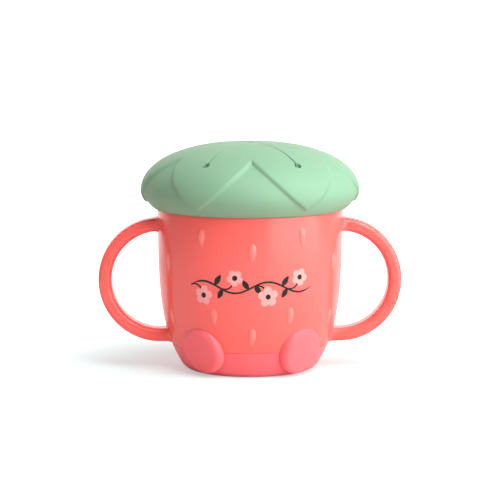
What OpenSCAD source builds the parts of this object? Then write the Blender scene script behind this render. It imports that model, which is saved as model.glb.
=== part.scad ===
// Toddler snack container: a two-handled cup with a soft lid of six push-through flaps.
// Millimetres, +Z up, the front faces -Y, the origin is the centre of the base.
// Azimuths are degrees from the front, positive towards +X.

/* [Cup] */
// Outer radius of the cup wall at the lid's seat
cup_r = 40.65; // [38:0.05:44]
// Height of the shoulder that the lid sits on
shoulder_z = 70.3; // [64:0.1:80]
// How much the wall narrows evenly from the shoulder to the base
cup_draft = 1; // [0.4:0.1:2]
// How much further the wall curves in at the base
cup_tuck = 11.2; // [8:0.1:13]
// How low the wall starts to curve in, as the power of its curve
tuck_power = 4.3; // [3.4:0.1:5.4]
// Thickness of the cup wall
wall = 2.5; // [2.2:0.1:3.4]
// Thickness of the cup floor
floor_t = 2.4; // [1.6:0.1:4]
// Radius of the corner between the floor and the wall inside
floor_corner = 5; // [2:0.5:8]
// Step from the wall in to the neck that the lid covers
neck_step = 1.15; // [0.9:0.05:1.5]
// Height of the neck from the shoulder to the rim
neck_h = 9.2; // [7:0.1:10]
// How far the rim bead stands out from the neck
bead_out = 0.25; // [0.1:0.05:0.3]
// Height of the rim bead
bead_h = 2.4; // [1.6:0.1:3]

/* [Seeds] */
// Length of a raised seed
seed_len = 8.2; // [6:0.1:10]
// Width of a seed
seed_w = 3.5; // [2.5:0.1:4.5]
// How far a seed stands out from the wall
seed_proud = 0.7; // [0.4:0.1:1]

/* [Base] */
// Height of the soft base band
band_h = 11.4; // [8:0.1:11.5]
// Thickness of the band over the wall
band_t = 1; // [0.8:0.1:1.2]
// Thickness of the sole under the cup
sole_t = 1.2; // [0.8:0.1:2]
// Radius of the opening in the sole
sole_in_r = 19; // [12:0.5:22]
// Radius of the corner round the sole
sole_corner = 2; // [1:0.25:3]

/* [Feet] */
// Radius of a round foot pad
pad_r = 10.8; // [9:0.1:10.9]
// Radius of the rounded edge of a foot pad
pad_edge = 1.8; // [1:0.1:2.4]
// Azimuth of a foot pad's centre
pad_az = 39; // [34:0.5:44]
// How far the middle of a foot pad's face stands out from the wall
pad_rise = 1.2; // [0.8:0.1:2.5]
// Height of a foot pad above the floor
pad_gap = 0.8; // [0.4:0.1:2]
// Azimuth that a foot pad faces
pad_face_az = 45; // [40:0.5:50]
// How far a foot pad's face leans towards the floor
pad_lean = 16; // [10:0.5:20]

/* [Handles] */
// Outer radius of a handle's bow
bow_r = 27.3; // [24:0.1:27.5]
// Thickness of the grip, seen from the front
grip_t = 5.8; // [4.5:0.1:7]
// Depth of the grip, from front to back
grip_w = 11; // [8:0.1:14]
// Radius of the grip's rounded edges
grip_edge = 1.6; // [0.8:0.1:2]
// How far the bow's centre lies inside the wall's outer radius
bow_inset = 1.35; // [0:0.05:3]
// Distance from the shoulder down to the top of the bow
bow_drop = 3.8; // [2:0.1:6]

/* [Lid] */
// Radius of the lid under its leaves, at its widest
lid_r = 46.7; // [46:0.02:50]
// Height of the lid's widest level above the shoulder
brim_h = 7.98; // [7:0.02:9]
// Height of the dome above its widest level, under the leaves
dome_h = 20.5; // [18:0.01:24]
// Fullness of the dome, where 2 is an ellipse
dome_full = 2.14; // [2:0.01:2.4]
// Fullness of the curve under the brim, where 2 is an ellipse and 1 is straight
under_full = 1.6; // [1.4:0.1:2]
// Thickness of the lid's soft wall in the brim
lid_t = 2; // [1.6:0.1:2.6]
// Height of the lip that grips the neck
lip_h = 4; // [3:0.1:5]
// Clearance between the lip and the neck
lip_gap = 0.45; // [0.4:0.05:0.5]

/* [Leaves] */
// Thickness of the raised leaves
leaf_t = 1.2; // [0.6:0.1:1.6]
// Height of a notch's point above the lid's widest level
notch_h = 16.1; // [15.5:0.1:17]
// Depth of the leaf tips below the lid's widest level
tip_drop = 4.9; // [3:0.1:5.5]
// How much a notch's edge bows outwards
notch_bow = 0.5; // [0:0.1:1]
// How far inside the slits' ends the notches' points are
notch_in = 5.4; // [4.8:0.1:6]

/* [Flaps] */
// Number of flaps, and of leaves and notches
flap_count = 6; // [6]
// How far the slits' ends lie inside the lid's radius
slit_inset = 8.1; // [7.4:0.02:9.6]
// Width of a slit
slit_w = 0.6; // [0.6:0.05:0.8]
// Radius of the round hole at the end of each slit
relief_r = 1.6; // [1:0.1:1.8]
// Radius of the opening where the slits meet
slit_centre_r = 1.2; // [1.2:0.1:2]
// Thickness of a flap
flap_t = 2.2; // [1.8:0.1:2.8]
// Clearance round the hinge edge of a flap
hinge_gap = 0.12; // [0.08:0.02:0.2]

/* [Hidden] */

coral = [1, 0.45, 0.42];
blush = [1, 0.5, 0.52];
mint = [0.66, 0.85, 0.7];

round_fn = 128;
hole_fn = 32;
wall_steps = 14;
band_steps = 4;
corner_steps = 5;
dome_steps = 16;
seed_steps = 8;
far = 80; // longer than any part of the object from the axis
under_in = 0.35; // the curve under the brim ends this far inside the lip
under_past = 0.4; // and this far below the lid's lower edge
lip_rise = 0.6; // rise of the slope from the top of the lip out to the brim
hinge_cover = 0.1; // the round hinge edge is this much larger than the lid's wall needs
seed_top = 0.6; // power that sets how blunt a seed's top is

// Each seed's azimuth, and its height as a share of the shoulder's.
middle_seeds = [[0, 0.785], [0, 0.265]];
paired_seeds = [[32, 0.872], [62, 0.692], [24.7, 0.39], [62, 0.34]];

neck_r = cup_r - neck_step;
cavity_r = cup_r - wall;
rim_z = shoulder_z + neck_h;
floor_z = sole_t + floor_t;

pad_z = pad_gap + pad_r * cos(pad_lean);
pad_reach = wall_r(pad_z) + pad_rise;

bow_x = cup_r - bow_inset;
bow_z = shoulder_z - bow_drop - bow_r;
grip_mid_r = bow_r - grip_t / 2;

widest_z = shoulder_z + brim_h;
apex_z = widest_z + dome_h + leaf_t;
lip_r = neck_r + lip_gap;
under_r = lip_r - under_in;
under_h = brim_h + under_past;

// The hinge line joins two slit ends. The lid's wall is higher at its middle than at its
// ends, and the round edge on the hinge axis holds the whole of it.
slit_r = lid_r - slit_inset;
sector = 360 / flap_count;
chord_x = slit_r * cos(sector / 2);
hinge_top = dome_z(lid_r + leaf_t, dome_h + leaf_t, chord_x);
hinge_low = dome_z(lid_r - lid_t, dome_h + leaf_t - flap_t, slit_r);
hinge_z = (hinge_top + hinge_low) / 2;
hinge_r = (hinge_top - hinge_low) / 2 + hinge_cover;
cut_past = 0.05; // the flaps' opening is cut this far past the hinge axis

// Radius of the cup wall at height z.
function wall_r(z) =
    let (down = 1 - z / shoulder_z) cup_r - cup_draft * down - cup_tuck * pow(down, tuck_power);

// Points up the wall from one height to another, moved in by inset.
function wall_pts(low, high, inset, steps = wall_steps) =
    [for (i = [0:steps]) let (z = low + (high - low) * i / steps) [wall_r(z) - inset, z]];

// A rounded corner at b, on the way from a to c.
function corner_pts(a, b, c) =
    [for (i = [0:corner_steps]) let (t = i / corner_steps)
        (1 - t) * (1 - t) * a + 2 * t * (1 - t) * b + t * t * c];

// The points in the opposite order.
function backwards(pts) = [for (i = [len(pts) - 1:-1:0]) pts[i]];

// A rectangle about the origin with rounded corners.
function rounded_rect(w, h, r) =
    [for (q = [0:3], i = [0:corner_steps]) let (a = 90 * (q + i / corner_steps))
        [(q == 0 || q == 3 ? 1 : -1) * (w / 2 - r) + r * cos(a),
         (q < 2 ? 1 : -1) * (h / 2 - r) + r * sin(a)]];

// A dome of radius r and height h, from its widest level up to the axis.
function dome_pts(r, h) =
    [for (i = [0:dome_steps]) let (t = 90 * i / dome_steps)
        [r * pow(cos(t), 2 / dome_full), widest_z + h * pow(sin(t), 2 / dome_full)]];

// Height of such a dome at distance x from the axis.
function dome_z(r, h, x) = widest_z + h * pow(1 - pow(x / r, dome_full), 1 / dome_full);

// The curve under the brim, from a height up to the widest level, grown outwards by grow.
function under_angle(low, grow) = asin(pow((widest_z - low) / (under_h + grow), under_full / 2));
function under_pts(low, grow) =
    [for (i = [0:corner_steps]) let (t = under_angle(low, grow) * (1 - i / corner_steps))
        [under_r + (lid_r - under_r + grow) * pow(cos(t), 2 / under_full),
         widest_z - (under_h + grow) * pow(sin(t), 2 / under_full)]];

// A seed is a spindle sunk into the wall until only its outline's width is left outside.
// The outline is round at the top, widest above the middle and pointed at the bottom.
seed_sunk = (seed_w * seed_w / 4 - seed_proud * seed_proud) / (2 * seed_proud);
function seed_half_w(u) = seed_w / 2 * sin(180 * pow(u, seed_top));
function seed_pts() = concat(
    [[0, seed_len / 2]],
    [for (i = [0:seed_steps]) let (u = i / seed_steps)
        [norm([seed_sunk, seed_half_w(u)]), seed_len * (0.5 - u)]],
    [[0, -seed_len / 2]]);

// Points up the outside of the base band, above its rounded corner.
function band_pts() =
    concat([[wall_r(sole_corner), sole_corner]], wall_pts(sole_corner + 0.5, band_h, 0, band_steps));

// Everything inside the outer surface of the cup and its base.
module cup_envelope() {
    rotate_extrude($fn = round_fn)
        polygon(concat(
            [[0, 0], [wall_r(0), 0]],
            band_pts(),
            wall_pts(band_h, shoulder_z, 0),
            [[0, shoulder_z]]));
}

// The cup's own solid before its hollow is cut.
module cup_blank() {
    rotate_extrude($fn = round_fn)
        polygon(concat(
            [[0, sole_t]],
            wall_pts(sole_t, band_h, band_t, band_steps),
            wall_pts(band_h, shoulder_z, 0),
            [[neck_r, shoulder_z], [neck_r, rim_z - bead_h], [neck_r + bead_out, rim_z - 0.75 * bead_h],
             [neck_r + bead_out, rim_z - 0.25 * bead_h], [neck_r - bead_out, rim_z], [0, rim_z]]));
}

// The hollow of the cup.
module cup_hollow() {
    corner_r = wall_r(floor_z) - wall;
    corner_top = floor_z + floor_corner;
    rotate_extrude($fn = round_fn)
        polygon(concat(
            [[0, floor_z]],
            corner_pts([corner_r - floor_corner, floor_z], [corner_r, floor_z],
                [wall_r(corner_top) - wall, corner_top]),
            wall_pts(corner_top + 1, shoulder_z, wall),
            [[cavity_r, rim_z + 1], [0, rim_z + 1]]));
}

// One raised seed at an azimuth and a height, leaning with the wall.
module seed(az, z) {
    lean = atan2(wall_r(z + 2) - wall_r(z - 2), 4);
    rotate([0, 0, az])
        translate([0, seed_sunk - wall_r(z), z])
            rotate([lean, 0, 0])
                rotate_extrude($fn = 24) polygon(seed_pts());
}

// The seeds of the front half or, turned round, of the back half.
module seed_field() {
    for (place = middle_seeds) seed(place[0], place[1] * shoulder_z);
    for (place = paired_seeds, side = [-1, 1]) seed(side * place[0], place[1] * shoulder_z);
}

module cup_body() {
    color(coral)
        difference() {
            union() {
                cup_blank();
                for (turn = [0, 180]) rotate([0, 0, turn]) seed_field();
            }
            cup_hollow();
        }
}

// A handle on the +X side: a half ring with two straight roots, cut to the wall.
module handle() {
    root = bow_x / 2;
    color(coral)
        difference() {
            translate([bow_x, 0, bow_z]) {
                rotate([90, 0, 0]) rotate([0, 0, -90])
                    rotate_extrude(angle = 180, $fn = round_fn)
                        translate([grip_mid_r, 0]) polygon(rounded_rect(grip_t, grip_w, grip_edge));
                for (side = [-1, 1])
                    translate([0, 0, side * grip_mid_r]) rotate([0, -90, 0])
                        linear_extrude(root) polygon(rounded_rect(grip_t, grip_w, grip_edge));
            }
            cup_envelope();
        }
}

module handle_left() {
    mirror([1, 0, 0]) handle();
}

module handle_right() {
    handle();
}

// The soft band and sole round the foot of the cup.
module base_band() {
    edge = wall_r(0);
    color(blush)
        rotate_extrude($fn = round_fn)
            polygon(concat(
                [[sole_in_r, 0]],
                corner_pts([edge - sole_corner, 0], [edge, 0], [wall_r(sole_corner), sole_corner]),
                wall_pts(sole_corner + 0.5, band_h, 0, band_steps),
                backwards(wall_pts(sole_t, band_h, band_t, band_steps)),
                [[sole_in_r, sole_t]]));
}

// A round foot pad on the +X side, seated on the wall and the band.
module foot_pad() {
    stem = 12; // long enough to reach into the wall from anywhere behind the pad
    color(blush)
        difference() {
            rotate([0, 0, pad_az]) translate([0, -pad_reach, pad_z])
                rotate([0, 0, pad_face_az - pad_az]) rotate([90 + pad_lean, 0, 0])
                    rotate_extrude($fn = round_fn)
                        polygon(concat([[0, -stem], [pad_r, -stem]],
                            [for (a = [0:90 / corner_steps:90])
                                [pad_r - pad_edge + pad_edge * cos(a), pad_edge * (sin(a) - 1)]],
                            [[0, 0]]));
            cup_envelope();
        }
}

module foot_pad_left() {
    mirror([1, 0, 0]) foot_pad();
}

module foot_pad_right() {
    foot_pad();
}

// The space outside the leaves round one notch, drawn for the notch at the front.
module notch_space() {
    half = (lid_r - 0.4) * sin(sector / 2);
    drop = notch_h + tip_drop;
    edge = [for (i = [0:4]) let (s = i / 4)
        [s * half, widest_z + notch_h - s * drop + notch_bow * sin(180 * s)]];
    difference() {
        rotate([90, 0, 0])
            linear_extrude(far)
                polygon(concat(
                    edge,
                    [[half, 0], [-half, 0]],
                    [for (i = [4:-1:1]) [-edge[i][0], edge[i][1]]]));
        cylinder(r = slit_r - notch_in, h = far * 2, $fn = round_fn);
    }
}

// The whole soft lid before its slits are cut.
module lid_skin() {
    tip_z = widest_z - tip_drop;
    lip_top = shoulder_z + lip_h;
    inner_r = lid_r - lid_t;
    difference() {
        union() {
            rotate_extrude($fn = round_fn)
                polygon(concat([[0, shoulder_z]], under_pts(shoulder_z, 0), dome_pts(lid_r, dome_h)));
            difference() {
                rotate_extrude($fn = round_fn)
                    polygon(concat(
                        [[0, tip_z]],
                        under_pts(tip_z, leaf_t),
                        dome_pts(lid_r + leaf_t, dome_h + leaf_t)));
                for (i = [0:flap_count - 1]) rotate([0, 0, sector * i]) notch_space();
            }
        }
        rotate_extrude($fn = round_fn)
            polygon(concat(
                [[0, shoulder_z - 1], [lip_r, shoulder_z - 1], [lip_r, lip_top],
                 [(lip_r + inner_r) / 2, lip_top + lip_rise]],
                dome_pts(inner_r, dome_h + leaf_t - flap_t)));
    }
}

// A bar along the hinge line of the front flap that ends short of the slits' ends by inset.
module hinge_bar(r, inset) {
    translate([0, -chord_x, hinge_z]) rotate([0, 90, 0])
        cylinder(r = r, h = 2 * (chord_x * tan(sector / 2) - inset), center = true, $fn = round_fn);
}

// The wedge between the two slits beside the front flap, out to a distance from the axis.
module slit_wedge(reach) {
    apex = slit_w / 2 / sin(sector / 2);
    half = (reach - apex) * tan(sector / 2);
    translate([0, 0, widest_z])
        linear_extrude(far) polygon([[0, -apex], [half, -reach], [-half, -reach]]);
}

module relief_holes() {
    for (i = [0:flap_count - 1])
        rotate([0, 0, sector * (i + 0.5)]) translate([0, -slit_r, widest_z])
            cylinder(r = relief_r, h = far, $fn = hole_fn);
}

module lid_shell() {
    color(mint)
        difference() {
            lid_skin();
            rotate([0, 0, (sector - 180) / 2]) translate([0, 0, widest_z])
                cylinder(r = slit_r + cut_past, h = far, $fn = flap_count);
            for (i = [0:flap_count - 1]) rotate([0, 0, sector * i]) hinge_bar(hinge_r + hinge_gap, 0);
            relief_holes();
        }
}

// The flap at an azimuth: a wedge of the dome that ends in a round hinge edge.
module flap(az) {
    color(mint)
        difference() {
            intersection() {
                lid_skin();
                rotate([0, 0, az])
                    union() {
                        slit_wedge(chord_x);
                        intersection() {
                            hinge_bar(hinge_r, slit_w);
                            slit_wedge(far);
                        }
                    }
            }
            relief_holes();
            translate([0, 0, widest_z]) cylinder(r = slit_centre_r, h = far, $fn = hole_fn);
        }
}

cup_body();
handle_left();
handle_right();
base_band();
foot_pad_left();
foot_pad_right();
lid_shell();
flap(0);  // flap_front
flap(sector);  // flap_front_right
flap(2 * sector);  // flap_back_right
flap(3 * sector);  // flap_back
flap(4 * sector);  // flap_back_left
flap(5 * sector);  // flap_front_left
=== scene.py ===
import bisect
import math

import bmesh
import bpy
from mathutils import Matrix, Vector

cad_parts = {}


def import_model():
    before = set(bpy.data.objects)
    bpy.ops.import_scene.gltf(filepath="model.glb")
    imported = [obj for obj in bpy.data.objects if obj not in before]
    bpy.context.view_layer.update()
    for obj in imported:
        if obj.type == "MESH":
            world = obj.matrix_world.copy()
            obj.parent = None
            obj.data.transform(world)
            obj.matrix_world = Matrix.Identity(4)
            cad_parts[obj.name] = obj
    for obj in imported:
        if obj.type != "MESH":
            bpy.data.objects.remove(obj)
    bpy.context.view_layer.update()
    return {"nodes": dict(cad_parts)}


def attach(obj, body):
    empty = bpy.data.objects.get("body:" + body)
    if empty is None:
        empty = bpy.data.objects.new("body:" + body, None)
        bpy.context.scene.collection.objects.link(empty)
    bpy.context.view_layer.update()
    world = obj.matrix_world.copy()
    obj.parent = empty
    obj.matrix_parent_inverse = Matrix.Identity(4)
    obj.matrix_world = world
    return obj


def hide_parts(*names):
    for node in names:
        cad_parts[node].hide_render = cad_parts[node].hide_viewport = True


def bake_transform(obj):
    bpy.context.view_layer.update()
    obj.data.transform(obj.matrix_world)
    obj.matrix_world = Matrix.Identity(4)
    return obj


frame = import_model()
scene = bpy.context.scene
print("frame loaded:", len(frame["nodes"]), "nodes")

# Pieces are modelled in millimetres and scaled to metres when they are finished. The camera, the
# floor and the lamps are placed in metres. +Z is up, the front faces -Y, and azimuths run from
# the front towards +X.
mm = 0.001

cameraSet = {
    "lens": 155.47,
    "sensor": 36,
    "clip": (0.05, 20),
    "azimuth": -1.3,
    "elevation": 7.1,
    "distance": 0.95,
    "aimZ": 0.0518,
}


def standRound(thing, place, aimZ):
    # stands a camera or a lamp round the object and turns it towards the object's axis
    turn, rise = math.radians(place["azimuth"]), math.radians(place["elevation"])
    back = Vector((math.sin(turn) * math.cos(rise), -math.cos(turn) * math.cos(rise), math.sin(rise)))
    thing.location = Vector((0, 0, aimZ)) + back * place["distance"]
    thing.rotation_mode = "QUATERNION"
    thing.rotation_quaternion = (-back).to_track_quat("-Z", "Y")


def addCamera():
    data = bpy.data.cameras.new("camera")
    data.lens = cameraSet["lens"]
    data.sensor_width = cameraSet["sensor"]
    data.clip_start, data.clip_end = cameraSet["clip"]
    camera = bpy.data.objects.new("camera", data)
    scene.collection.objects.link(camera)
    standRound(camera, cameraSet, cameraSet["aimZ"])
    scene.camera = camera


addCamera()
scene.view_settings.view_transform = "Standard"


def linearColor(red, green, blue):
    # from the 0 to 255 of a colour picker
    def one(value):
        share = value / 255
        return share / 12.92 if share <= 0.04045 else ((share + 0.055) / 1.055) ** 2.4

    return (one(red), one(green), one(blue), 1)


def newGroup(name, inputs, outputs):
    group = bpy.data.node_groups.new(name, "ShaderNodeTree")
    for label, kind, value in inputs:
        socket = group.interface.new_socket(label, in_out="INPUT", socket_type=kind)
        socket.default_value = value
    for label, kind in outputs:
        group.interface.new_socket(label, in_out="OUTPUT", socket_type=kind)
    start = group.nodes.new("NodeGroupInput")
    end = group.nodes.new("NodeGroupOutput")
    start.location = (-900, 0)
    end.location = (700, 0)
    return group, start, end


def addNode(tree, kind, at, **values):
    node = tree.nodes.new(kind)
    node.location = at
    for key, value in values.items():
        setattr(node, key, value)
    return node


def setInputs(node, values):
    for label, value in values.items():
        node.inputs[label].default_value = value


def wire(tree, *joins):
    # joins outputs of nodes to inputs of others
    for source, output, target, label in joins:
        tree.links.new(source.outputs[output], target.inputs[label])


grainSet = {
    "grain": {"Detail": 3, "Roughness": 0.6},
    "ripple": {"Detail": 1},
}
toneSet = {
    "cloud": {"Detail": 2},
    "smear": {"Scale": 150, "Detail": 4},
    "smearSpread": {"From Min": 0.3, "From Max": 0.7},
    "specks": {"Scale": 420},
    "speckSize": {"From Min": 0.04, "From Max": 0.12, "To Min": 1, "To Max": 0},
    "speckColor": {"B": (0.92, 0.9, 0.88, 1)},
}


def makeGrainGroup():
    # fine moulded grain with a soft ripple under it, as a height
    group, start, end = newGroup(
        "mouldedGrain",
        [
            ("Vector", "NodeSocketVector", (0, 0, 0)),
            ("Grain Scale", "NodeSocketFloat", 2600),
            ("Ripple Scale", "NodeSocketFloat", 90),
            ("Ripple Share", "NodeSocketFloat", 0.5),
        ],
        [("Height", "NodeSocketFloat")],
    )
    grain = addNode(group, "ShaderNodeTexNoise", (-600, 150))
    ripple = addNode(group, "ShaderNodeTexNoise", (-600, -150))
    mix = addNode(group, "ShaderNodeMix", (0, 0), data_type="FLOAT")
    setInputs(grain, grainSet["grain"])
    setInputs(ripple, grainSet["ripple"])
    wire(
        group,
        (start, "Vector", grain, "Vector"),
        (start, "Grain Scale", grain, "Scale"),
        (start, "Vector", ripple, "Vector"),
        (start, "Ripple Scale", ripple, "Scale"),
        (start, "Ripple Share", mix, "Factor"),
        (grain, "Fac", mix, "A"),
        (ripple, "Fac", mix, "B"),
        (mix, "Result", end, "Height"),
    )
    return group


def makeToneGroup():
    # a moulded part's cloudy colour with pale specks, a painted sheen as a paler tone by share, and
    # uneven gloss
    group, start, end = newGroup(
        "handledTone",
        [
            ("Vector", "NodeSocketVector", (0, 0, 0)),
            ("Color", "NodeSocketColor", (1, 1, 1, 1)),
            ("Deep Color", "NodeSocketColor", (1, 1, 1, 1)),
            ("Cloud Scale", "NodeSocketFloat", 40),
            ("Low Roughness", "NodeSocketFloat", 0.3),
            ("High Roughness", "NodeSocketFloat", 0.4),
            ("Speck Amount", "NodeSocketFloat", 0.1),
            # the paler tone below is painted sheen, laid on by share
            ("Painted Sheen Color", "NodeSocketColor", (1, 1, 1, 1)),
            ("Painted Sheen Share", "NodeSocketFloat", 0),
        ],
        [("Color", "NodeSocketColor"), ("Roughness", "NodeSocketFloat")],
    )
    cloud = addNode(group, "ShaderNodeTexNoise", (-600, 250))
    smear = addNode(group, "ShaderNodeTexNoise", (-600, -50))
    specks = addNode(group, "ShaderNodeTexVoronoi", (-600, -350))
    speckSize = addNode(group, "ShaderNodeMapRange", (-350, -350))
    speckShare = addNode(group, "ShaderNodeMath", (-150, -350), operation="MULTIPLY")
    cloudMix = addNode(group, "ShaderNodeMix", (0, 250), data_type="RGBA")
    speckMix = addNode(group, "ShaderNodeMix", (250, 250), data_type="RGBA")
    paintedSheenMix = addNode(group, "ShaderNodeMix", (450, 250), data_type="RGBA")
    rough = addNode(group, "ShaderNodeMapRange", (0, -50))
    setInputs(cloud, toneSet["cloud"])
    setInputs(smear, toneSet["smear"])
    setInputs(rough, toneSet["smearSpread"])
    setInputs(specks, toneSet["specks"])
    setInputs(speckSize, toneSet["speckSize"])
    setInputs(speckMix, toneSet["speckColor"])
    wire(
        group,
        (start, "Vector", cloud, "Vector"),
        (start, "Vector", smear, "Vector"),
        (start, "Vector", specks, "Vector"),
        (start, "Cloud Scale", cloud, "Scale"),
        (cloud, "Fac", cloudMix, "Factor"),
        (start, "Color", cloudMix, "A"),
        (start, "Deep Color", cloudMix, "B"),
        (specks, "Distance", speckSize, "Value"),
        (speckSize, "Result", speckShare, 0),
        (start, "Speck Amount", speckShare, 1),
        (speckShare, "Value", speckMix, "Factor"),
        (cloudMix, "Result", speckMix, "A"),
        (start, "Painted Sheen Share", paintedSheenMix, "Factor"),
        (speckMix, "Result", paintedSheenMix, "A"),
        (start, "Painted Sheen Color", paintedSheenMix, "B"),
        (paintedSheenMix, "Result", end, "Color"),
        (smear, "Fac", rough, "Value"),
        (start, "Low Roughness", rough, "To Min"),
        (start, "High Roughness", rough, "To Max"),
        (rough, "Result", end, "Roughness"),
    )
    return group


grainGroup = makeGrainGroup()
toneGroup = makeToneGroup()


def makeMaterial(name, look):
    material = bpy.data.materials.new(name)
    material.use_nodes = True
    tree = material.node_tree
    shader = tree.nodes["Principled BSDF"]
    where = addNode(tree, "ShaderNodeTexCoord", (-1100, 0))
    tone = addNode(tree, "ShaderNodeGroup", (-700, 150), node_tree=toneGroup)
    grain = addNode(tree, "ShaderNodeGroup", (-700, -250), node_tree=grainGroup)
    bump = addNode(tree, "ShaderNodeBump", (-400, -250))
    toneValues = {
        "Color": linearColor(*look["color"]),
        "Deep Color": linearColor(*look["deepColor"]),
        "Cloud Scale": look["cloudScale"],
        "Low Roughness": look["roughness"][0],
        "High Roughness": look["roughness"][1],
        "Speck Amount": look["specks"],
    }
    grainValues = {
        "Grain Scale": look["grainScale"],
        "Ripple Scale": look["rippleScale"],
        "Ripple Share": look["rippleShare"],
    }
    shaderValues = {
        "IOR": look["ior"],
        "Specular IOR Level": look["specular"],
        "Subsurface Weight": look["scatter"],
        "Subsurface Radius": look["scatterColor"],
        "Subsurface Scale": look["scatterDepth"] * mm,
        "Coat Weight": look["coat"],
        "Coat Roughness": look["coatRoughness"],
        "Sheen Weight": look["sheen"],
    }
    setInputs(tone, toneValues)
    setInputs(grain, grainValues)
    setInputs(shader, shaderValues)
    setInputs(bump, {"Strength": look["bump"], "Distance": look["bumpHeight"] * mm})
    wire(
        tree,
        (where, "Object", tone, "Vector"),
        (where, "Object", grain, "Vector"),
        (tone, "Color", shader, "Base Color"),
        (tone, "Roughness", shader, "Roughness"),
        (grain, "Height", bump, "Height"),
        (bump, "Normal", shader, "Normal"),
    )
    if look["paintedSheen"]:
        # painted sheen: a lighter tone where the piece's mesh carries a share of it, as on the raised
        # seeds
        share = addNode(tree, "ShaderNodeAttribute", (-1100, 250), attribute_name="paintedSheenShare")
        setInputs(tone, {"Painted Sheen Color": linearColor(*look["paintedSheen"])})
        wire(tree, (share, "Fac", tone, "Painted Sheen Share"))
    return material


coralLook = {
    "color": (255, 113, 105),
    "deepColor": (255, 108, 100),
    "cloudScale": 26,
    "roughness": (0.23, 0.27),
    "specks": 0.04,
    "grainScale": 3200,
    "rippleScale": 55,
    "rippleShare": 0.6,
    "bump": 0.06,
    "bumpHeight": 0.1,
    "ior": 1.5,
    "specular": 0.45,
    "scatter": 1,
    "scatterColor": (1, 0.4, 0.3),
    "scatterDepth": 1.2,
    "coat": 0.12,
    "coatRoughness": 0.1,
    "sheen": 0,
    # the painted sheen on the raised seeds, a paler coral
    "paintedSheen": (255, 133, 125),
}
blushLook = {
    "color": (255, 119, 125),
    "deepColor": (255, 113, 119),
    "cloudScale": 34,
    "roughness": (0.42, 0.52),
    "specks": 0.08,
    "grainScale": 2600,
    "rippleScale": 80,
    "rippleShare": 0.35,
    "bump": 0.22,
    "bumpHeight": 0.12,
    "ior": 1.45,
    "specular": 0.45,
    "scatter": 1,
    "scatterColor": (1, 0.4, 0.4),
    "scatterDepth": 1.2,
    "coat": 0,
    "coatRoughness": 0.3,
    "sheen": 0.05,
    "paintedSheen": None,
}
mintLook = {
    "color": (130, 174, 143),
    "deepColor": (126, 170, 139),
    "cloudScale": 30,
    "roughness": (0.5, 0.6),
    "specks": 0.1,
    "grainScale": 2400,
    "rippleScale": 70,
    "rippleShare": 0.3,
    "bump": 0.25,
    "bumpHeight": 0.14,
    "ior": 1.42,
    "specular": 0.28,
    "scatter": 0.12,
    "scatterColor": (0.8, 1, 0.8),
    "scatterDepth": 2,
    "coat": 0,
    "coatRoughness": 0.3,
    "sheen": 0,
    "paintedSheen": None,
}
inkLook = dict(coralLook, scatter=0, coat=0, specular=0.3, bump=0.2, paintedSheen=None)
petalInkLook = dict(inkLook, color=(240, 165, 160), deepColor=(238, 158, 153))
darkInkLook = dict(inkLook, color=(24, 18, 18), deepColor=(30, 23, 22))

coral = makeMaterial("coralPlastic", coralLook)
blush = makeMaterial("blushGrip", blushLook)
mint = makeMaterial("mintSilicone", mintLook)
petalInk = makeMaterial("petalInk", petalInkLook)
darkInk = makeMaterial("darkInk", darkInkLook)
print("materials made")

meshSet = {
    "merge": 0.0005,  # corners closer than this become one
    "ringReach": 0.02,  # how near an edge lies to the ring that is rounded
    "ringSegments": 3,
}


def finishPiece(name, bm, material, sharpAngle=32):
    # merges, turns the faces outwards, scales to metres and makes the object
    bmesh.ops.remove_doubles(bm, verts=bm.verts, dist=meshSet["merge"])
    bmesh.ops.recalc_face_normals(bm, faces=bm.faces)
    bmesh.ops.scale(bm, vec=(mm, mm, mm), verts=bm.verts)
    mesh = bpy.data.meshes.new(name)
    bm.to_mesh(mesh)
    bm.free()
    mesh.shade_smooth()
    mesh.set_sharp_from_angle(angle=math.radians(sharpAngle))
    mesh.materials.append(material)
    piece = bpy.data.objects.new(name, mesh)
    scene.collection.objects.link(piece)
    return piece


def dressNode(piece, body, node):
    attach(piece, body)
    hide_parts(node)


def revolve(outline, closed, steps):
    # turns an outline of (radius, height) points once round the Z axis
    bm = bmesh.new()
    verts = [bm.verts.new((radius, 0, height)) for radius, height in outline]
    pairs = list(zip(verts, verts[1:]))
    if closed:
        pairs.append((verts[-1], verts[0]))
    edges = [bm.edges.new(pair) for pair in pairs]
    bmesh.ops.spin(
        bm,
        geom=verts + edges,
        cent=(0, 0, 0),
        axis=(0, 0, 1),
        angle=math.tau,
        steps=steps,
        use_merge=True,
    )
    bmesh.ops.remove_doubles(bm, verts=bm.verts, dist=meshSet["merge"])
    return bm


def onRing(point, radius, height):
    reach = meshSet["ringReach"]
    return abs(point.z - height) < reach and abs(point.xy.length - radius) < reach


def roundRings(bm, corners):
    # rounds the rings of edges that run through these (radius, height, rounding) corners
    for radius, height, rounding in corners:
        ring = [
            edge for edge in bm.edges if all(onRing(vert.co, radius, height) for vert in edge.verts)
        ]
        bmesh.ops.bevel(
            bm,
            geom=ring,
            offset=rounding,
            segments=meshSet["ringSegments"],
            profile=0.5,
            affect="EDGES",
            material=-1,
        )


def gridOver(columns, rows, place):
    # a grid whose corner (column, row) goes where place says
    bm = bmesh.new()
    bmesh.ops.create_grid(bm, x_segments=columns, y_segments=rows, size=1)
    for vert in bm.verts:
        column = round((vert.co.x + 1) / 2 * columns)
        row = round((vert.co.y + 1) / 2 * rows)
        vert.co = place(column, row)
    return bm


def newVerts(made):
    return [item for item in made["geom"] if isinstance(item, bmesh.types.BMVert)]


def between(start, end, share):
    return start + (end - start) * share


def spread(start, end, count):
    return [between(start, end, index / count) for index in range(count + 1)]


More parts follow.
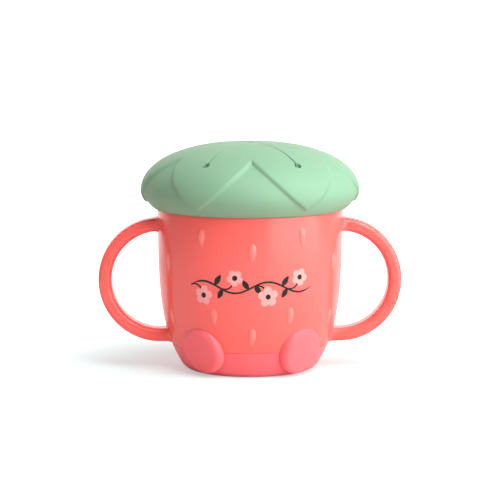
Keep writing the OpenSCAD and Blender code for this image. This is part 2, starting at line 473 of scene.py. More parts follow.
def bendLine(start, bend, end, count):
    # points on a curve that leaves start and reaches end by way of bend
    return [
        start * (1 - share) ** 2 + bend * 2 * share * (1 - share) + end * share**2
        for share in spread(0, 1, count)
    ]


def onCircle(azimuth, radius, height):
    turn = math.radians(azimuth)
    return Vector((radius * math.sin(turn), -radius * math.cos(turn), height))


cup = {
    "radius": 40.65,
    "shoulderZ": 70.3,
    "draft": 1,
    "tuck": 11.2,
    "tuckPower": 4.3,
    "wall": 2.5,
    "floorZ": 3.6,
    "floorCorner": 5,
    "cornerSpare": 1,
    "neckRadius": 39.5,
    "rimZ": 79.5,
    "rimOuterCorner": (0.2, 0.4),  # across and down
    "rimInnerCorner": 0.5,
    "beadOut": 0.25,
    "beadHeight": 2.4,
    "beadFull": 0.75,  # share of the bead's height, from the rim down, that stands out fully
    "soleThickness": 1.2,
    "bandHeight": 11.4,
    "bandThickness": 1,
    "seamGap": 0.07,
    "seamRound": 0.2,
    "shoulderRound": 0.35,
    "rings": {"foot": 6, "wall": 48, "cavity": 30, "corner": 6},
    "turnSteps": 192,
}


def wallRadius(height):
    up = max(0, 1 - height / cup["shoulderZ"])
    return cup["radius"] - cup["draft"] * up - cup["tuck"] * up ** cup["tuckPower"]


def wallPoints(low, high, inset, count):
    return [(wallRadius(height) - inset, height) for height in spread(low, high, count)]


seeds = {
    "length": 10,
    "width": 3.5,
    "proud": 0.75,
    "blend": 0.06,
    "topShape": 0.6,
    "middle": [54.7, 18.2],  # heights of the seeds at the front's middle
    "paired": [(32, 60.8), (62, 48.1), (24.7, 26.8), (62, 23.5)],  # azimuth and height
    "fineCuts": 4,
    "cutSpare": 0.9,  # how far round a seed the wall is cut finely
    "shapeSpare": 0.6,
    "wallReach": 0.3,
    "endSpare": 1,  # seeds stay this far from the seam and the shoulder
    # the seeds' painted sheen starts at this rise and is full at that one
    "paintedSheenFrom": 0.06,
    "paintedSheenTo": 0.3,
}


def seedPlaces():
    front = [(0, height) for height in seeds["middle"]]
    front += [(side * azimuth, height) for azimuth, height in seeds["paired"] for side in (-1, 1)]
    return front + [(azimuth + 180, height) for azimuth, height in front]


def seedHeight(across, along):
    # a spindle sunk into the wall, with a soft foot where it meets the wall
    share = min(1, max(0, 0.5 - along / seeds["length"]))
    half = seeds["width"] / 2 * math.sin(math.pi * share ** seeds["topShape"])
    sunk = (seeds["width"] ** 2 / 4 - seeds["proud"] ** 2) / (2 * seeds["proud"])
    full = math.sqrt(sunk**2 + half**2)
    rise = math.sqrt(max(0, full**2 - across**2)) - sunk
    soft = seeds["blend"]
    return max(0, (rise + math.sqrt(rise**2 + soft**2) - soft) / 2)


def raiseSeeds(bm):
    places = seedPlaces()
    lowest, highest = cup["bandHeight"] + seeds["endSpare"], cup["shoulderZ"] - seeds["endSpare"]

    def local(point, azimuth, height):
        turn = math.radians(azimuth)
        across = point.x * math.cos(turn) + point.y * math.sin(turn)
        facing = point.x * math.sin(turn) - point.y * math.cos(turn)
        return across, point.z - height, facing > 0

    def near(point, azimuth, height, spare):
        across, along, facing = local(point, azimuth, height)
        return (
            facing
            and abs(across) < seeds["width"] / 2 + spare
            and abs(along) < seeds["length"] / 2 + spare
        )

    def outside(point):
        return point.xy.length > wallRadius(point.z) - seeds["wallReach"]

    for azimuth, height in places:
        faces = [
            face
            for face in bm.faces
            if near(face.calc_center_median(), azimuth, height, seeds["cutSpare"])
            and all(outside(vert.co) for vert in face.verts)
        ]
        edges = list(dict.fromkeys(edge for face in faces for edge in face.edges))
        bmesh.ops.subdivide_edges(bm, edges=edges, cuts=seeds["fineCuts"], use_grid_fill=True)
    # the raised seeds carry a painted sheen, paler where they rise higher
    paintedSheen = bm.verts.layers.float.new("paintedSheenShare")
    for vert in bm.verts:
        point = vert.co
        if not (lowest < point.z < highest and outside(point)):
            continue
        rise = 0
        for azimuth, height in places:
            if near(point, azimuth, height, seeds["shapeSpare"]):
                across, along, _ = local(point, azimuth, height)
                rise = max(rise, seedHeight(across, along))
        point.xy = point.xy.normalized() * (wallRadius(point.z) + rise)
        share = (rise - seeds["paintedSheenFrom"]) / (seeds["paintedSheenTo"] - seeds["paintedSheenFrom"])
        vert[paintedSheen] = min(1, max(0, share))


def makeCup():
    wall, corner, rings = cup["wall"], cup["floorCorner"], cup["rings"]
    neck, rim, bead = cup["neckRadius"], cup["rimZ"], cup["beadHeight"]
    beadRadius = neck + cup["beadOut"]
    rimAcross, rimDown = cup["rimOuterCorner"]
    rimInner = cup["rimInnerCorner"]
    cavity = cup["radius"] - wall
    seamZ = cup["bandHeight"] + cup["seamGap"]
    floorRadius = wallRadius(cup["floorZ"]) - wall
    cornerTop = cup["floorZ"] + corner
    seamDepth = cup["bandThickness"] + cup["seamGap"]
    outline = [(0, cup["soleThickness"])]
    outline += wallPoints(cup["soleThickness"], seamZ, seamDepth, rings["foot"])
    outline += wallPoints(seamZ, cup["shoulderZ"], 0, rings["wall"])
    outline += [(neck, cup["shoulderZ"]), (neck, rim - bead)]
    outline += [(beadRadius, rim - cup["beadFull"] * bead), (beadRadius, rim - rimDown)]
    outline += [(neck - rimAcross, rim), (cavity + rimInner, rim), (cavity, rim - rimInner)]
    cavityLow = cornerTop + cup["cornerSpare"]
    outline += reversed(wallPoints(cavityLow, cup["shoulderZ"], wall, rings["cavity"]))
    start = Vector((wallRadius(cornerTop) - wall, cornerTop))
    bend = Vector((floorRadius, cup["floorZ"]))
    end = Vector((floorRadius - corner, cup["floorZ"]))
    outline += bendLine(start, bend, end, rings["corner"])
    outline.append((0, cup["floorZ"]))
    bm = revolve(outline, False, cup["turnSteps"])
    seam = (wallRadius(seamZ), seamZ, cup["seamRound"])
    shoulder = (cup["radius"], cup["shoulderZ"], cup["shoulderRound"])
    roundRings(bm, [seam, shoulder])
    raiseSeeds(bm)
    piece = finishPiece("cup_body_shell", bm, coral, sharpAngle=50)
    dressNode(piece, "cup", "cup_body")


makeCup()
print("cup made")

garland = {
    "stemHeight": 40.6,
    "stemFrom": -27.5,
    "stemTo": 28,
    "stemWidth": 0.8,
    "stemWave": 2.4,
    "waveStart": -22,
    "waveLength": 29,
    "tipShare": 0.25,  # how wide the stem's tips are
    "tipSlope": 9,
    # place along and up the wall, radius and turn
    "blossoms": [
        ((-22, 36.8), 4.2, 10),
        ((-7.5, 44.7), 3.6, 40),
        ((7, 36.6), 4.5, -5),
        ((21.5, 44.5), 3.8, 25),
    ],
    "petals": 5,
    "petalDip": 0.34,
    "petalShape": 0.7,
    "centreRadius": 1.15,
    "stalkFoot": 6.5,  # how far before a blossom its stalk leaves the stem
    "stalkBend": 1.5,
    "stalkShare": 0.4,
    # place along the stem, turn and length
    "leaves": [
        (-16.5, 58, 5.4),
        (-13, -118, 4.6),
        (-1.5, 125, 5),
        (1.2, -52, 4.4),
        (13.2, 55, 5.2),
        (15.6, -122, 4.6),
    ],
    "leafWidth": 2.3,
    "leafTip": 0.04,
    "leafShape": (0.85, 0.9),
    "steps": {"stem": 90, "stalk": 16, "leaf": 14},
    "grids": {"petal": (80, 5), "centre": (32, 2)},  # round the film and across it
    "levels": {"line": 0.03, "petal": 0.05, "centre": 0.07},
    "sunk": 0.15,
}


def onWall(along, height, level):
    turn = math.degrees(along / cup["radius"])
    return onCircle(turn, wallRadius(height) + level, height)


def layInk(target, columns, rows, place, level):
    # adds one closed film of ink, whose flat shape place gives, wrapped on the cup's wall
    height = garland["levels"][level]
    bm = gridOver(columns, rows, lambda column, row: onWall(*place(column, row), height))
    bmesh.ops.remove_doubles(bm, verts=bm.verts, dist=meshSet["merge"])
    made = bmesh.ops.extrude_face_region(bm, geom=bm.faces[:], use_keep_orig=True)
    for vert in newVerts(made):
        vert.co.xy = vert.co.xy.normalized() * (wallRadius(vert.co.z) - garland["sunk"])
    mesh = bpy.data.meshes.new("ink")
    bm.to_mesh(mesh)
    bm.free()
    target.from_mesh(mesh)
    bpy.data.meshes.remove(mesh)


def stemPoint(along):
    turn = math.tau * (along - garland["waveStart"]) / garland["waveLength"]
    return Vector((along, garland["stemHeight"] + garland["stemWave"] * math.cos(turn)))


def layRound(target, level, centre, turned, reach):
    # a round film, as wide as reach says at each turn
    columns, rows = garland["grids"][level]

    def place(column, row):
        turn = math.tau * column / columns
        out = reach(turn) * row / rows
        angle = turn + math.radians(turned)
        return (centre[0] + out * math.sin(angle), centre[1] + out * math.cos(angle))

    layInk(target, columns, rows, place, level)


def layBlossom(target, centre, radius, turned):
    def reach(turn):
        wave = abs(math.cos(garland["petals"] / 2 * turn)) ** garland["petalShape"]
        return radius * (1 - garland["petalDip"] * (1 - wave))

    layRound(target, "petal", centre, turned, reach)


def layRibbon(target, line, halfWidth):
    # a stroke of ink along a line of points, with a half width for each share of its length
    last = len(line) - 1

    def place(column, row):
        way = (line[min(last, column + 1)] - line[max(0, column - 1)]).normalized()
        off = (row - 1) * halfWidth(column / last)
        return (line[column].x - way.y * off, line[column].y + way.x * off)

    layInk(target, last, 2, place, "line")


def layStalk(target, centre):
    # a short stalk bends from the stem to the middle of a blossom
    foot = stemPoint(centre[0] - garland["stalkFoot"])
    bend = stemPoint(centre[0] - garland["stalkBend"])
    line = bendLine(foot, bend, Vector(centre), garland["steps"]["stalk"])
    halfWidth = garland["stemWidth"] * garland["stalkShare"]
    layRibbon(target, line, lambda share: halfWidth)


def layLeaf(target, along, turned, length):
    start = stemPoint(along)
    way = Vector((math.cos(math.radians(turned)), math.sin(math.radians(turned))))
    line = [start + way * length * share for share in spread(0, 1, garland["steps"]["leaf"])]
    lean, fullness = garland["leafShape"]

    def halfWidth(share):
        swell = math.sin(math.pi * share**lean) ** fullness
        return garland["leafTip"] + garland["leafWidth"] / 2 * swell

    layRibbon(target, line, halfWidth)


def layStem(target):
    def halfWidth(share):
        fromTip = garland["tipShare"] + garland["tipSlope"] * min(share, 1 - share)
        return garland["stemWidth"] / 2 * min(1, fromTip)

    places = spread(garland["stemFrom"], garland["stemTo"], garland["steps"]["stem"])
    layRibbon(target, [stemPoint(along) for along in places], halfWidth)


def makePrint():
    petals, lines = bmesh.new(), bmesh.new()
    layStem(lines)
    for centre, radius, turned in garland["blossoms"]:
        layBlossom(petals, centre, radius, turned)
        layRound(lines, "centre", centre, 0, lambda turn: garland["centreRadius"])
        layStalk(lines, centre)
    for leaf in garland["leaves"]:
        layLeaf(lines, *leaf)
    for name, bm, material in (("print_blossoms", petals, petalInk), ("print_lines", lines, darkInk)):
        piece = finishPiece(name, bm, material)
        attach(piece, "cup")


makePrint()
print("print made")

handle = {
    "bowRadius": 27.3,
    "centreX": 39.3,
    "centreZ": 39.2,
    "thickness": 5.8,
    "depth": 11,
    "edge": 2.2,
    "edgeSegments": 8,
    "bowSteps": 72,
    "topShort": 14,  # degrees that the sweep stops before the top
    "flareAcross": 2.6,
    "flareUp": 0.6,
    "flareSteps": 10,
    "sunk": 0.5,
}
bowMiddle = handle["bowRadius"] - handle["thickness"] / 2


def makeHandle(side, name, node):
    bm = bmesh.new()
    bmesh.ops.create_grid(bm, x_segments=1, y_segments=1, size=0.5)
    bmesh.ops.scale(bm, vec=(handle["thickness"], handle["depth"], 1), verts=bm.verts)
    bmesh.ops.bevel(
        bm,
        geom=bm.verts[:],
        offset=handle["edge"],
        segments=handle["edgeSegments"],
        profile=0.5,
        affect="VERTICES",
        material=-1,
    )
    # the section stands on the bow's centre line at its lowest point and faces along it
    upright = Matrix.Rotation(math.radians(90), 3, "Y")
    bmesh.ops.rotate(bm, cent=(0, 0, 0), matrix=upright, verts=bm.verts)
    bmesh.ops.translate(bm, vec=(handle["centreX"], 0, handle["centreZ"] - bowMiddle), verts=bm.verts)
    lowEnd = bm.faces[:][0]
    swept = bmesh.ops.spin(
        bm,
        geom=bm.faces[:] + bm.edges[:] + bm.verts[:],
        cent=(handle["centreX"], 0, handle["centreZ"]),
        axis=(0, -1, 0),
        angle=math.pi - math.radians(handle["topShort"]),
        steps=handle["bowSteps"],
    )
    highEnd = [item for item in swept["geom_last"] if isinstance(item, bmesh.types.BMFace)][0]
    flareRoot(bm, highEnd)
    flareRoot(bm, lowEnd)
    if side < 0:
        bmesh.ops.scale(bm, vec=(-1, 1, 1), verts=bm.verts)
    piece = finishPiece(name, bm, coral, sharpAngle=60)
    dressNode(piece, "cup", node)


def flareRoot(bm, face):
    # carries an end of the bow on to the wall and opens it out into a fillet
    centre = face.calc_center_median()
    sign = 1 if centre.z > handle["centreZ"] else -1
    steps, reach = handle["flareSteps"], handle["flareAcross"]
    ring = {}
    for vert in face.verts:
        out = math.hypot(vert.co.x - handle["centreX"], vert.co.z - handle["centreZ"])
        ring[vert] = (vert.co.y, sign * (out - bowMiddle))
    for index in range(steps + 1):
        away = reach * (1 - index / steps) if index < steps else -handle["sunk"]
        opened = 1 - math.sqrt(max(0, 1 - (1 - max(0, away) / reach) ** 2))
        past = wallRadius(centre.z) + away - handle["centreX"]
        level = handle["centreZ"] + sign * math.sqrt(bowMiddle**2 - max(0, past) ** 2)
        edges = list(face.edges)
        bmesh.ops.delete(bm, geom=[face], context="FACES_ONLY")
        made = bmesh.ops.extrude_edge_only(bm, edges=edges)
        nextRing = {}
        for vert in newVerts(made):
            nearest = min(ring, key=lambda other: (other.co - vert.co).length)
            nextRing[vert] = ring[nearest]
        for vert, (across, up) in nextRing.items():
            wide = across * (1 + 2 * reach * opened / handle["depth"])
            height = level + up * (1 + 2 * handle["flareUp"] * opened / handle["thickness"])
            wallX = math.sqrt(wallRadius(height) ** 2 - wide**2)
            vert.co = (wallX + away, wide, height)
        newEdges = [
            item
            for item in made["geom"]
            if isinstance(item, bmesh.types.BMEdge) and all(vert in nextRing for vert in item.verts)
        ]
        face = bmesh.ops.contextual_create(bm, geom=newEdges)["faces"][0]
        ring = nextRing


makeHandle(1, "handle_right_bow", "handle_right")
makeHandle(-1, "handle_left_bow", "handle_left")
print("handles made")

band = {
    "soleInner": 19,
    "soleRings": (22, 26),
    "soleCorner": 2,
    "cornerSpare": 0.6,
    "topEdge": 0.2,
    "innerEdge": 0.4,
    "rings": {"sole": 3, "corner": 6, "outer": 12, "inner": 8},
}


def makeBand():
    edge, corner, rings = wallRadius(0), band["soleCorner"], band["rings"]
    top, sole = cup["bandHeight"], cup["soleThickness"]
    nearRing, farRing = band["soleRings"]
    outline = [(band["soleInner"], 0)]
    outline += [(radius, 0) for radius in spread(nearRing, edge - corner, rings["sole"])]
    for share in spread(0, 1, rings["corner"])[1:]:
        turn = math.radians(90 * share)
        flat = edge - corner + corner * math.sin(turn)
        height = corner * (1 - math.cos(turn))
        outline.append((flat + (wallRadius(height) - edge) * share, height))
    outline += wallPoints(corner + band["cornerSpare"], top, 0, rings["outer"])
    outline += reversed(wallPoints(sole, top, cup["bandThickness"], rings["inner"]))
    outline += [(radius, sole) for radius in (farRing, nearRing, band["soleInner"])]
    bm = revolve(outline, True, cup["turnSteps"])
    topRing = (wallRadius(top), top, band["topEdge"])
    innerRings = [(band["soleInner"], height, band["innerEdge"]) for height in (0, sole)]
    roundRings(bm, [topRing] + innerRings)
    piece = finishPiece("base_band_ring", bm, blush, sharpAngle=50)
    dressNode(piece, "cup", "base_band")


makeBand()
print("band made")

pad = {
    "radius": 10.8,
    "edge": 2.4,
    "edgeSpare": 1,
    "crown": 0.5,
    "azimuth": 39,
    "rise": 1.2,
    "gap": 0.8,
    "faceAzimuth": 45,
    "lean": 16,
    "stem": 12,
    "sunk": 0.7,
    "rings": {"crown": 8, "edge": 12, "side": 12, "back": 10},
    "turnSteps": 96,
}


def makePad(side, name, node):
    radius, edge, stem, rings = pad["radius"], pad["edge"], pad["stem"], pad["rings"]
    flat = radius - edge
    shares = spread(0, 1, rings["crown"])
    outline = [(share * flat, pad["crown"] * (1 - share**2)) for share in shares]
    for turn in spread(90, 0, rings["edge"])[1:]:
        angle = math.radians(turn)
        outline.append((flat + edge * math.cos(angle), edge * (math.sin(angle) - 1)))
    sideTop = -edge - pad["edgeSpare"]
    outline += [(radius, depth) for depth in spread(sideTop, -stem, rings["side"])]
    outline += [(inside, -stem) for inside in spread(radius, 0, rings["back"])[1:]]
    bm = revolve(outline, False, pad["turnSteps"])
    height = pad["gap"] + radius * math.cos(math.radians(pad["lean"]))
    reach = wallRadius(height) + pad["rise"]
    place = (
        Matrix.Rotation(math.radians(pad["azimuth"]), 4, "Z")
        @ Matrix.Translation((0, -reach, height))
        @ Matrix.Rotation(math.radians(pad["faceAzimuth"] - pad["azimuth"]), 4, "Z")
        @ Matrix.Rotation(math.radians(90 + pad["lean"]), 4, "X")
    )
    bmesh.ops.transform(bm, matrix=place, verts=bm.verts)
    for vert in bm.verts:
        seat = wallRadius(vert.co.z) - pad["sunk"]
        if vert.co.xy.length < seat:
            vert.co.xy = vert.co.xy.normalized() * seat
    if side < 0:
        bmesh.ops.scale(bm, vec=(-1, 1, 1), verts=bm.verts)
    piece = finishPiece(name, bm, blush, sharpAngle=60)
    dressNode(piece, "cup", node)


makePad(1, "foot_pad_right_cap", "foot_pad_right")
makePad(-1, "foot_pad_left_cap", "foot_pad_left")
print("foot pads made")

lid = {
    "radius": 46.7,
    "widestZ": 78.28,
    "domeHeight": 20.5,
    "crownSag": 0.5,
    "sagReach": 14,
    "fullness": 2.14,
    "underFullness": 1.6,
    "underRadius": 39.6,
    "underDepth": 8.38,
    "lipRadius": 39.95,
    "lipHeight": 4,
    "lipCorner": 0.2,
    "lipTopCorner": (0.3, 0.05),  # across and up
    "shelfRise": 0.6,
    "shelfBend": 1.4,
    "brimWall": 2,
    "crownWall": 1,
    "leafThickness": 1.2,
    "notchHeight": 16.1,
    "tipDrop": 4.9,
    "notchBow": 0.5,
    "notchHalf": 23.15,
    "flapCount": 6,
    "hingeLine": 32.3,
    "slitEnd": 38.6,
    "reliefRadius": 1.6,
    "reliefMiddle": 12,
    "reliefDepth": 22,
    "reliefSegments": 32,
    "sharpAngle": 40,
    "columns": 24,
    "rings": {"leaf": 22, "skin": 26, "lip": 3, "shelf": 5, "hollow": 16, "hinge": 4},
    "curveSteps": (400, 200),  # over the dome and under the brim
}
# the leaf's edge in section: distance past the edge, and share of the leaf's thickness
leafEdge = [
    (-0.9, 1.0),
    (-0.58, 0.985),
    (-0.28, 0.93),
    (0.0, 0.82),
    (0.3, 0.6),
    (0.6, 0.34),
    (0.88, 0.14),
    (1.18, 0.03),
    (1.5, 0.0),
]
# how the lid's curves are measured
measure = {
    "wayReach": 0.25,  # along the skin, to find which way it runs
    "slopeReach": 0.25,  # degrees, to find how steeply a leaf's edge crosses the skin
    "mostStretch": 2.2,
    "searchFrom": 5,
    "hingeSearchTo": 45,
    "searchRounds": 40,
    "skinShort": 0.15,
}


class Curve:
    # a smooth line of (radius, height) points, measured along its length from the top
    def __init__(self, points):
        self.points = [Vector(point) for point in points]
        self.at = [0]
        for one, two in zip(self.points, self.points[1:]):
            self.at.append(self.at[-1] + (two - one).length)
        self.length = self.at[-1]

    def point(self, along):
        along = min(max(along, 0), self.length)
        high = min(bisect.bisect_right(self.at, along), len(self.at) - 1)
        low = high - 1
        span = self.at[high] - self.at[low]
        share = (along - self.at[low]) / span if span else 0
        return self.points[low].lerp(self.points[high], share)

    def raised(self, along, height):
        # a point this far outside the line
        way = self.point(along + measure["wayReach"]) - self.point(along - measure["wayReach"])
        return self.point(along) + Vector((-way.y, way.x)).normalized() * height


def domePoint(radius, height, turn):
    power = 2 / lid["fullness"]
    angle = math.radians(turn)
    across = radius * max(0, math.cos(angle)) ** power
    return (across, lid["widestZ"] + height * max(0, math.sin(angle)) ** power)


def domeHeightAt(radius, height, across):
    share = min(1, across / radius)
    sag = lid["crownSag"] * math.exp(-((across / lid["sagReach"]) ** 2))
    return lid["widestZ"] + height * (1 - share ** lid["fullness"]) ** (1 / lid["fullness"]) - sag


def underPoint(turn):
    power = 2 / lid["underFullness"]
    angle = math.radians(turn)
    across = lid["underRadius"] + (lid["radius"] - lid["underRadius"]) * math.cos(angle) ** power
    return (across, lid["widestZ"] - lid["underDepth"] * math.sin(angle) ** power)


def makeSkinCurve():
    domeSteps, underSteps = lid["curveSteps"]
    lowest = (lid["widestZ"] - cup["shoulderZ"]) / lid["underDepth"]
    lastTurn = math.degrees(math.asin(lowest ** (lid["underFullness"] / 2)))
    points = [domePoint(lid["radius"], lid["domeHeight"], turn) for turn in spread(90, 0, domeSteps)]
    points += [underPoint(turn) for turn in spread(0, lastTurn, underSteps)[1:]]
    return Curve(points)


skinCurve = makeSkinCurve()
leafRadius = lid["radius"] + lid["leafThickness"]
leafDome = lid["domeHeight"] + lid["leafThickness"]
hollowRadius = lid["radius"] - lid["brimWall"]
hollowDome = lid["domeHeight"] - lid["crownWall"]
halfSector = 180 / lid["flapCount"]  # degrees from a flap's middle to its slits


def solve(change, low, high):
    # where a falling value passes zero
    for _ in range(measure["searchRounds"]):
        middle = (low + high) / 2
        if change(middle) > 0:
            low = middle
        else:
            high = middle
    return (low + high) / 2


def notchEdge(azimuth):
    # how far along the skin a leaf ends at an azimuth from the notch's middle
    sine = math.sin(math.radians(azimuth))

    def above(along):
        point = skinCurve.raised(along, lid["leafThickness"])
        share = point.x * sine / lid["notchHalf"]
        drop = lid["notchHeight"] + lid["tipDrop"]
        bow = lid["notchBow"] * math.sin(math.pi * min(share, 1))
        return point.y - (lid["widestZ"] + lid["notchHeight"] - drop * share + bow)

    return solve(above, measure["searchFrom"], skinCurve.length)


def hingeRadius(azimuth):
    # the straight line between lid and flap, met at an azimuth from its middle
    return lid["hingeLine"] / math.cos(math.radians(azimuth))


def hingeStart(azimuth):
    # how far along the skin the leaves pass over the hinge line
    def before(along):
        return hingeRadius(azimuth) - skinCurve.raised(along, lid["leafThickness"]).x

    return solve(before, measure["searchFrom"], measure["hingeSearchTo"])


def edgeStretch(azimuth, edge):
    # how much longer the leaf's edge runs down the skin than straight across the edge
    after = min(azimuth + measure["slopeReach"], halfSector)
    before = max(azimuth - measure["slopeReach"], 0)
    across = skinCurve.point(edge).x * math.radians(after - before)
    slope = (notchEdge(after) - notchEdge(before)) / across
    return min(measure["mostStretch"], math.sqrt(1 + slope**2))


def lidSection(azimuth):
    # the closed section of the lid's ring at an azimuth from a notch's middle
    thick, rings = lid["leafThickness"], lid["rings"]
    start, edge = hingeStart(azimuth), notchEdge(azimuth)
    stretch = edgeStretch(azimuth, edge)
    leafEnd, skinStart = edge + leafEdge[0][0] * stretch, edge + leafEdge[-1][0] * stretch
    skinEnd = skinCurve.length - measure["skinShort"]
    line = [skinCurve.raised(along, thick) for along in spread(start, leafEnd, rings["leaf"])]
    line += [skinCurve.raised(edge + past * stretch, thick * share) for past, share in leafEdge[1:]]
    line += [skinCurve.point(along) for along in spread(skinStart, skinEnd, rings["skin"])[1:]]
    # the lip that grips the neck
    lip, corner, lipZ = lid["lipRadius"], lid["lipCorner"], cup["shoulderZ"]
    lipTop = lipZ + lid["lipHeight"]
    across, up = lid["lipTopCorner"]
    outer = skinCurve.point(skinCurve.length).x
    line += [Vector((outer - corner, lipZ)), Vector((lip + corner, lipZ))]
    line += [Vector((lip, height)) for height in spread(lipZ + corner, lipTop - across, rings["lip"])]
    line.append(Vector((lip + across, lipTop + up)))
    # the hollow of the brim and the dome
    shelf = Vector(((lip + hollowRadius) / 2, lipTop + lid["shelfRise"]))
    bend = Vector((hollowRadius, lipTop + lid["shelfBend"]))
    brim = Vector((hollowRadius, lid["widestZ"]))
    line += bendLine(shelf, bend, brim, rings["shelf"])[:-1]
    inside = hingeRadius(azimuth)
    lastTurn = math.degrees(math.acos((inside / hollowRadius) ** (lid["fullness"] / 2)))
    turns = spread(0, lastTurn, rings["hollow"])
    line += [Vector(domePoint(hollowRadius, hollowDome, turn)) for turn in turns]
    # the cut face at the hinge line
    low, high = line[-1].y, line[0].y
    line += [Vector((inside, height)) for height in spread(low, high, rings["hinge"])[1:]]
    return line


def cutReliefHoles(piece):
    cutter = bmesh.new()
    for index in range(lid["flapCount"]):
        azimuth = halfSector * (2 * index + 1)
        centre = onCircle(azimuth, lid["slitEnd"], lid["widestZ"] + lid["reliefMiddle"])
        bmesh.ops.create_cone(
            cutter,
            cap_ends=True,
            segments=lid["reliefSegments"],
            radius1=lid["reliefRadius"],
            radius2=lid["reliefRadius"],
            depth=lid["reliefDepth"],
            matrix=Matrix.Translation(centre),
        )
    tool = finishPiece("relief_cutter", cutter, mint)
    modifier = piece.modifiers.new("relief", "BOOLEAN")
    modifier.operation = "DIFFERENCE"
    modifier.solver = "EXACT"
    modifier.object = tool
    bpy.context.view_layer.update()
    shown = piece.evaluated_get(bpy.context.evaluated_depsgraph_get())
    made = bpy.data.meshes.new_from_object(shown)
    piece.modifiers.clear()
    old = piece.data
    piece.data = made
    made.name = piece.name
    bpy.data.meshes.remove(old)
    bpy.data.objects.remove(tool)
    made.shade_smooth()
    made.set_sharp_from_angle(angle=math.radians(lid["sharpAngle"]))


def makeLidRing():
    half = lid["columns"]
    columns = 2 * half * lid["flapCount"]
    sections = [lidSection(halfSector * index / half) for index in range(half + 1)]
    rows = len(sections[0]) - 1

    def place(column, row):
        fold = column % (2 * half)
        radius, height = sections[min(fold, 2 * half - fold)][row]
        return onCircle(halfSector * column / half, radius, height)

    bm = gridOver(columns, rows, place)
    piece = finishPiece("lid_ring", bm, mint, sharpAngle=lid["sharpAngle"])
    cutReliefHoles(piece)
    dressNode(piece, "lid", "lid_shell")


makeLidRing()
print("lid ring made")

flap = {
    "centreRadius": 1.2,
    "slitTight": 0.15,
    "slitWide": 0.62,
    "edge": 0.22,
    "edgeShares": (0, 0.25, 0.6, 1),  # places across the slit's rounded edge
    "edgeMost": 1 / 3,  # of the half width
    "across": 22,
    "along": 56,
    "tipRows": 8,
    "bendLength": 6,
}
flapNames = ["front", "front_right", "back_right", "back", "back_left", "front_left"]


def makeFlap(index):
    azimuth = 2 * halfSector * index
    slope = math.tan(math.radians(halfSector))
    shares = flap["edgeShares"]
    last = len(shares) - 1
    columns = flap["across"] + 2 * last
    rows = flap["along"]

    def sideways(column, half):
        # the lateral place of a column, and how far its edge is rounded down
        rounding = min(flap["edge"], half * flap["edgeMost"])
        fromEdge = min(column, columns - column)
        sign = -1 if column < columns / 2 else 1
        if fromEdge <= last:
            inset = shares[fromEdge] * rounding
            drop = rounding - math.sqrt(max(0, rounding**2 - (rounding - inset) ** 2))
            return sign * (half - inset), drop
        share = (column - last) / (columns - 2 * last)
        return (half - rounding) * (2 * share - 1), 0

    def place(column, row):
        share = row / rows
        far = between(flap["centreRadius"], lid["hingeLine"], share)
        gap = between(flap["slitTight"], flap["slitWide"], share**2) / 2
        half = far * slope - gap / math.cos(math.radians(halfSector))
        side, drop = sideways(column, half)
        if row < flap["tipRows"]:
            tip = math.sqrt(max(0, flap["centreRadius"] ** 2 - side**2))
            far = between(tip, far, row / flap["tipRows"])
        height = domeHeightAt(leafRadius, leafDome, math.hypot(far, side)) - drop
        return Vector((side, -far, height))

    bm = gridOver(columns, rows, place)
    made = bmesh.ops.extrude_face_region(bm, geom=bm.faces[:], use_keep_orig=True)
    for vert in newVerts(made):
        vert.co.z = domeHeightAt(hollowRadius, hollowDome, vert.co.xy.length)
    turn = Matrix.Rotation(math.radians(azimuth), 3, "Z")
    bmesh.ops.rotate(bm, cent=(0, 0, 0), matrix=turn, verts=bm.verts)
    name = "flap_" + flapNames[index]
    piece = finishPiece(name + "_leaf", bm, mint, sharpAngle=50)
    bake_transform(piece)
    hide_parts(name)


for number in range(lid["flapCount"]):
    makeFlap(number)
print("flaps made")

# lengths in metres
stage = {
    "floorRadius": 0.42,
    "floorSegments": 96,
    # where seen, the floor is tinted cyan, painted colour that evens out the red light the cup throws
    # on to it; in bounced light the floor is pink
    "floorColor": (0.78, 0.68, 0.68, 1),
    "floorSeen": (0.43, 0.58, 0.58, 1),
    "glow": {"From Min": 0.05, "From Max": 0.19, "To Min": 0.43, "To Max": 1.05},
    "glossShare": 0.3,
    "roomMost": 1.6,
    "roomTint": (1, 0.8, 0.8, 1),
    "roomFrontToBack": [(0, 0.26), (0.35, 0.24), (0.72, 0.24), (0.9, 1)],
    "ceiling": 0.36,
    "lampAimZ": 0.05,
}
lamps = {
    "side": {"azimuth": 57, "elevation": 18, "distance": 1.3, "size": (1.9, 1.4), "power": 28},
    "high": {"azimuth": 30, "elevation": 68, "distance": 1.3, "size": (1, 1), "power": 11.5},
    "spark": {"azimuth": 42, "elevation": 44, "distance": 1.2, "size": (0.2, 0.2), "power": 1.6},
}


def seenShare(tree):
    # its Value is 1 for what the camera sees directly or through something clear, less in a gloss
    path = addNode(tree, "ShaderNodeLightPath", (-1000, -300))
    gloss = addNode(tree, "ShaderNodeMath", (-800, -300), operation="MULTIPLY")
    seen = addNode(tree, "ShaderNodeMath", (-650, -300), operation="MAXIMUM")
    through = addNode(tree, "ShaderNodeMath", (-500, -300), operation="MAXIMUM")
    setInputs(gloss, {1: stage["glossShare"]})
    wire(
        tree,
        (path, "Is Glossy Ray", gloss, 0),
        (path, "Is Camera Ray", seen, 0),
        (gloss, "Value", seen, 1),
        (seen, "Value", through, 0),
        (path, "Is Transmission Ray", through, 1),
    )
    return through


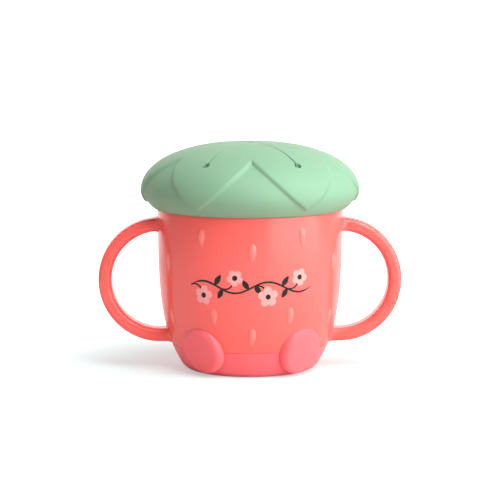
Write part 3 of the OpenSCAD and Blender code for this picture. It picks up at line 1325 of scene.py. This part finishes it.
def makeFloorMaterial():
    # gives its own light where it is seen, growing with distance until it meets the white room
    material = bpy.data.materials.new("paleFloor")
    material.use_nodes = True
    tree = material.node_tree
    tree.nodes.clear()
    out = addNode(tree, "ShaderNodeOutputMaterial", (400, 0))
    add = addNode(tree, "ShaderNodeAddShader", (200, 0))
    diffuse = addNode(tree, "ShaderNodeBsdfDiffuse", (0, 100))
    shade = addNode(tree, "ShaderNodeMix", (-300, 200), data_type="RGBA")
    glow = addNode(tree, "ShaderNodeEmission", (0, -100))
    where = addNode(tree, "ShaderNodeTexCoord", (-900, -50))
    away = addNode(tree, "ShaderNodeVectorMath", (-700, -50), operation="LENGTH")
    level = addNode(tree, "ShaderNodeMapRange", (-500, -50), interpolation_type="SMOOTHSTEP")
    amount = addNode(tree, "ShaderNodeMath", (-150, -100), operation="MULTIPLY")
    seen = seenShare(tree)
    setInputs(shade, {"A": stage["floorColor"], "B": stage["floorSeen"]})
    setInputs(level, stage["glow"])
    wire(
        tree,
        (where, "Object", away, 0),
        (away, "Value", level, "Value"),
        (level, "Result", amount, 0),
        (seen, "Value", amount, 1),
        (seen, "Value", shade, "Factor"),
        (shade, "Result", diffuse, "Color"),
        (amount, "Value", glow, "Strength"),
        (diffuse, "BSDF", add, 0),
        (glow, "Emission", add, 1),
        (add, "Shader", out, "Surface"),
    )
    return material


def makeFloor():
    bm = bmesh.new()
    bmesh.ops.create_circle(
        bm, cap_ends=True, segments=stage["floorSegments"], radius=stage["floorRadius"]
    )
    mesh = bpy.data.meshes.new("floor")
    bm.to_mesh(mesh)
    bm.free()
    mesh.materials.append(makeFloorMaterial())
    floor = bpy.data.objects.new("floor", mesh)
    scene.collection.objects.link(floor)


def makeWorld():
    # a white backdrop behind, a dimmer room in front and at the sides, and a pale ceiling
    world = bpy.data.worlds.new("paleRoom")
    scene.world = world
    world.use_nodes = True
    tree = world.node_tree
    sky = tree.nodes["Background"]
    where = addNode(tree, "ShaderNodeTexCoord", (-1100, 200))
    axes = addNode(tree, "ShaderNodeSeparateXYZ", (-900, 200))
    along = addNode(tree, "ShaderNodeMapRange", (-700, 100))
    walls = addNode(tree, "ShaderNodeValToRGB", (-500, 100))
    wallLevel = addNode(tree, "ShaderNodeMath", (-250, 100), operation="MULTIPLY")
    ceiling = addNode(tree, "ShaderNodeMapRange", (-500, 400))
    room = addNode(tree, "ShaderNodeMath", (-100, 200), operation="MAXIMUM")
    amount = addNode(tree, "ShaderNodeMath", (50, 0), operation="MAXIMUM")
    tint = addNode(tree, "ShaderNodeMix", (-150, 450), data_type="RGBA")
    seen = seenShare(tree)
    stops = walls.color_ramp.elements
    for index, (place, level) in enumerate(stage["roomFrontToBack"]):
        stop = stops[index] if index < 2 else stops.new(place)
        stop.position = place
        stop.color = (level, level, level, 1)
    setInputs(along, {"From Min": -1})
    setInputs(wallLevel, {1: stage["roomMost"]})
    setInputs(ceiling, {"To Max": stage["ceiling"]})
    setInputs(tint, {"A": stage["roomTint"], "B": (1, 1, 1, 1)})
    wire(
        tree,
        (where, "Generated", axes, "Vector"),
        (axes, "Y", along, "Value"),
        (along, "Result", walls, "Fac"),
        (walls, "Color", wallLevel, 0),
        (axes, "Z", ceiling, "Value"),
        (wallLevel, "Value", room, 0),
        (ceiling, "Result", room, 1),
        (room, "Value", amount, 0),
        (seen, "Value", amount, 1),
        (seen, "Value", tint, "Factor"),
        (tint, "Result", sky, "Color"),
        (amount, "Value", sky, "Strength"),
    )


def addLamp(name, place):
    data = bpy.data.lights.new(name, "AREA")
    data.shape = "RECTANGLE"
    data.size, data.size_y = place["size"]
    data.energy = place["power"]
    lamp = bpy.data.objects.new(name, data)
    scene.collection.objects.link(lamp)
    lamp.visible_camera = False
    standRound(lamp, place, stage["lampAimZ"])


makeFloor()
makeWorld()
for name, place in lamps.items():
    addLamp(name, place)
print("stage made")
